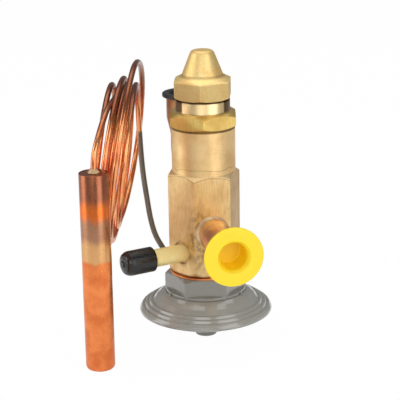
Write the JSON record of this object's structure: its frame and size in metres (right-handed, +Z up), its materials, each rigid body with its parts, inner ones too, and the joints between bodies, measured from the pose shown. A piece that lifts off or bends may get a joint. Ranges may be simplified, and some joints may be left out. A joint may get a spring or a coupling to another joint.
{
  "type": "thermostatic expansion valve",
  "caption": "Externally equalized thermostatic expansion valve with brazed copper tube stubs in shipping plugs, a diaphragm power element, a coiled capillary and a sensing bulb.",
  "frame": {"origin": "centre of the flat bottom face of the boss under the power element, on the valve's axis", "axes": "+Z up the valve's axis, from the power element to the seal cap; -Y out of the inlet; +Y towards the outlet; +X to the right of the inlet, away from the coil and bulb"},
  "size_m": [0.0907, 0.1046, 0.132],
  "materials": {
    "body_brass": "machined from hexagon bar, dull",
    "nut_brass": "machined, olive tone",
    "copper": "bare copper tube, heat tinted",
    "grey_paint": "semi-gloss grey enamel",
    "inner_steel": "ground",
    "spring_steel": "drawn wire",
    "braze": "silver braze fillet",
    "gasket_copper": "copper joint ring",
    "packing": "packing ring",
    "yellow_plastic": "soft moulded plastic",
    "black_plastic": "soft moulded plastic",
    "black_vinyl": "dipped vinyl"
  },
  "bodies": {
    "valve": {"valve_body": "body_brass", "element_boss": "grey_paint", "lower_case": "grey_paint", "upper_case": "grey_paint", "diaphragm": "inner_steel", "element_nut": "grey_paint", "element_gasket": "gasket_copper", "valve_seat": "inner_steel", "superheat_spring": "spring_steel", "stem_packing": "packing", "packing_gland": "nut_brass", "seal_nut": "nut_brass", "inlet_tube": "copper", "inlet_braze": "braze", "outlet_tube": "copper", "outlet_braze": "braze", "equalizer_tube": "body_brass", "bulb_tube": "copper", "bulb_end_plug": "copper", "bulb_solder": "braze", "capillary_tube": "copper"},
    "pin_assembly": {"pin_carrier": "nut_brass", "valve_pin": "inner_steel", "push_rod_1": "inner_steel", "push_rod_2": "inner_steel", "buffer_plate": "inner_steel"},
    "spring_seat": {"spring_guide": "nut_brass"},
    "stem": {"adjusting_stem": "nut_brass"},
    "cap_seal": {"seal_cap_gasket": "gasket_copper"},
    "cap": {"seal_cap": "nut_brass"},
    "inlet_shipping_plug": {"inlet_plug": "yellow_plastic"},
    "outlet_shipping_plug": {"outlet_plug": "black_plastic"},
    "equalizer_shipping_cap": {"equalizer_cap": "black_vinyl"}
  },
  "joints": [
    {"name": "pin_lift", "type": "slide", "parent": "valve", "child": "pin_assembly", "axis": [0, 0, 1], "range_m": [0, 0.0008], "stiffness_N_per_m": 8000, "springref_m": -0.0015, "deforming": ["superheat_spring"]},
    {"name": "stem_turn", "type": "hinge", "parent": "valve", "child": "stem", "pos_m": [0, 0, 0.1], "axis": [0, 0, 1], "range_deg": [-722, 362]},
    {"name": "spring_seat_travel", "type": "slide", "parent": "valve", "child": "spring_seat", "axis": [0, 0, 1], "range_m": [-0.002, 0.001]},
    {"name": "cap_rise", "type": "slide", "parent": "valve", "child": "cap_seal", "axis": [0, 0, 1], "range_m": [0, 0.005]},
    {"name": "cap_turn", "type": "hinge", "parent": "cap_seal", "child": "cap", "pos_m": [0, 0, 0.12], "axis": [0, 0, 1], "range_deg": [0, 1802]},
    {"name": "inlet_plug_pull", "type": "slide", "parent": "valve", "child": "inlet_shipping_plug", "axis": [0, -1, 0], "range_m": [0, 0.06]},
    {"name": "outlet_plug_pull", "type": "slide", "parent": "valve", "child": "outlet_shipping_plug", "axis": [0, 0, 1], "range_m": [0, 0.03]},
    {"name": "equalizer_cap_pull", "type": "slide", "parent": "valve", "child": "equalizer_shipping_cap", "axis": [-0.9613, -0.2756, 0], "range_m": [0, 0.007]}
  ],
  "couplings": [
    {"joint": "cap_turn", "follows": "cap_rise", "rad_per_m": 6283.2},
    {"joint": "stem_turn", "follows": "spring_seat_travel", "rad_per_m": 6283.2}
  ]
}
